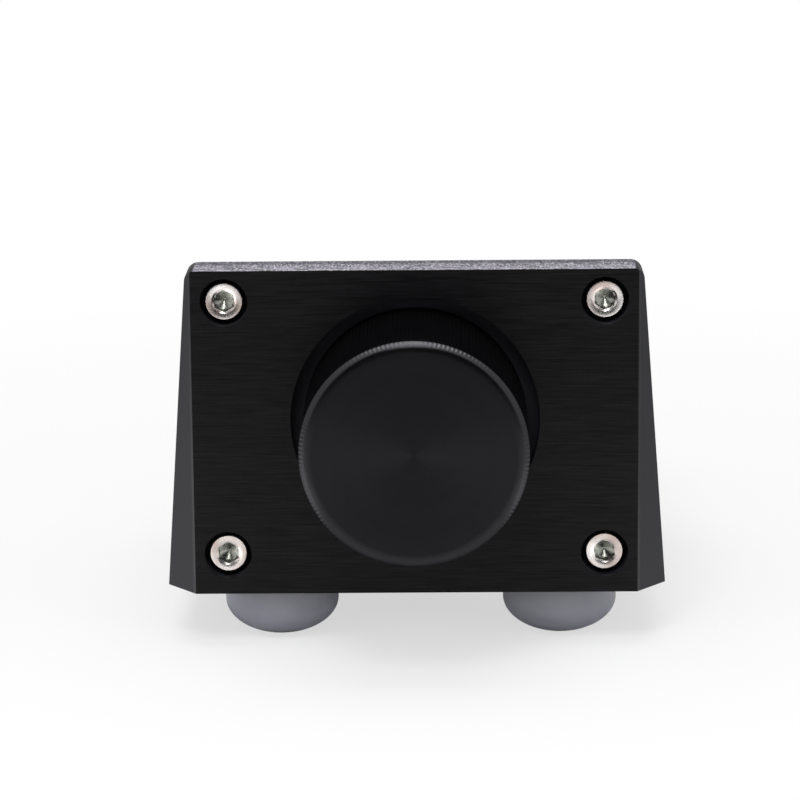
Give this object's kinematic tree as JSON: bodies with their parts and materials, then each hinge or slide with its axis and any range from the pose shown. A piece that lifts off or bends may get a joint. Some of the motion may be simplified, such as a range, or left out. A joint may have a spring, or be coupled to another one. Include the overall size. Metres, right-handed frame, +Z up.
{
  "type": "studio monitor controller",
  "caption": "Black aluminium desk volume controller: thick trapezium front panel, recessed large volume knob, sloping case, rear 6.35 mm jacks and domed silicone feet.",
  "frame": {"origin": "on the desk, at the middle of the whole object's footprint", "axes": "+Z up, front panel and knob facing -Y, +X to the right seen from the front; the knob turns about an axis along Y"},
  "size_m": [0.0954, 0.127, 0.0732],
  "materials": {
    "black_anodised_face": "black anodised, fine brushed grain",
    "black_anodised_case": "black anodised, bead blasted",
    "black_anodised_rear": "black anodised, brushed",
    "black_anodised_knob": "black anodised, turned face, knurled grip",
    "stainless_screws": "stainless steel, bright",
    "black_screws": "black oxide steel",
    "zinc_screws": "zinc plated steel",
    "clear_grey_silicone": "translucent grey silicone",
    "turned_steel": "turned steel",
    "spring_steel": "spring steel",
    "rotor_plastic": "moulded black plastic",
    "contact_metal": "bright spring bronze",
    "tinned_pins": "tinned brass",
    "zinc_casting": "die-cast zinc",
    "frame_plastic": "moulded green plastic",
    "wafer_board": "phenolic board",
    "zinc_plate": "zinc plated steel",
    "nickel_hardware": "nickel plated",
    "jack_plastic": "moulded black nylon",
    "circuit_board": "green solder mask on glass fibre board",
    "brass_standoffs": "turned brass"
  },
  "bodies": {
    "case": {"front_panel": "black_anodised_face", "case_shell": "black_anodised_case", "base_plate": "black_anodised_case", "rear_panel": "black_anodised_rear", "front_panel_screws": "stainless_screws", "base_plate_screws": "black_screws", "rear_panel_screws": "black_screws", "standoff_screws": "black_screws", "board_screws": "zinc_screws", "foot_front_left": "clear_grey_silicone", "foot_front_right": "clear_grey_silicone", "foot_rear_left": "clear_grey_silicone", "foot_rear_right": "clear_grey_silicone", "pot_terminals": "tinned_pins", "pot_front_casting": "zinc_casting", "pot_gang_frames": "frame_plastic", "pot_track_wafers": "wafer_board", "pot_rear_plate": "zinc_plate", "pot_tie_screws": "zinc_screws", "pot_washer": "nickel_hardware", "pot_nut": "nickel_hardware", "jack_washers": "nickel_hardware", "jack_nuts": "nickel_hardware", "input_jack_left": "jack_plastic", "input_jack_right": "jack_plastic", "output_jack_left": "jack_plastic", "output_jack_right": "jack_plastic", "jack_tip_springs": "contact_metal", "jack_ring_springs": "contact_metal", "jack_sleeve_terminals": "contact_metal", "main_board": "circuit_board", "board_standoffs": "brass_standoffs"},
    "volume_knob": {"knob": "black_anodised_knob", "knob_set_screw": "black_screws", "pot_shaft": "turned_steel", "pot_shaft_clip": "spring_steel", "pot_stop_disc": "spring_steel", "pot_rotors": "rotor_plastic", "pot_wipers": "contact_metal"}
  },
  "joints": [
    {"name": "volume_turn", "type": "hinge", "parent": "case", "child": "volume_knob", "pos_m": [0, -0.0335, 0.0444], "axis": [0, 1, 0], "range_deg": [-150, 150]}
  ]
}
